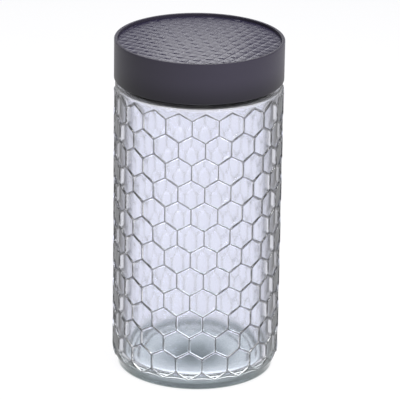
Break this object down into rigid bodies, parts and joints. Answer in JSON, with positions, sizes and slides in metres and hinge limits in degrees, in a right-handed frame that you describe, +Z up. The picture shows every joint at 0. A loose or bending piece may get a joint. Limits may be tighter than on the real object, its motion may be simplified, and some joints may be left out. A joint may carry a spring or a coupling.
{
  "type": "storage jar",
  "caption": "Tall straight glass storage jar with honeycomb-faceted walls, thick base and a flush dark satin screw lid with a woven-pattern top disc.",
  "frame": {"origin": "middle of the base, on the surface that the jar stands on", "axes": "+Z up along the jar's axis, -Y towards the viewer of the picture, +X to the viewer's right"},
  "size_m": [0.106, 0.106, 0.2159],
  "materials": {
    "glass": "clear pressed glass, fire polished",
    "seal_ring": "milky silicone",
    "liner_plastic": "fine matt moulding",
    "lid_satin": "satin anthracite lacquer",
    "disc_satin": "satin anthracite lacquer on embossed basket weave"
  },
  "bodies": {
    "jar": {"jar_body": "glass"},
    "seal": {"lid_seal": "seal_ring"},
    "lid": {"lid_inner_cap": "liner_plastic", "lid_shell": "lid_satin", "lid_top_disc": "disc_satin"}
  },
  "joints": [
    {"name": "lid_rise", "type": "slide", "parent": "jar", "child": "seal", "axis": [0, 0, 1], "range_m": [0, 0.03]},
    {"name": "lid_turn", "type": "hinge", "parent": "seal", "child": "lid", "pos_m": [0, 0, 0.2], "axis": [0, 0, 1], "range_deg": [0, 540]}
  ],
  "couplings": [
    {"joint": "lid_rise", "follows": "lid_turn", "m_per_rad": 0.0031831}
  ]
}
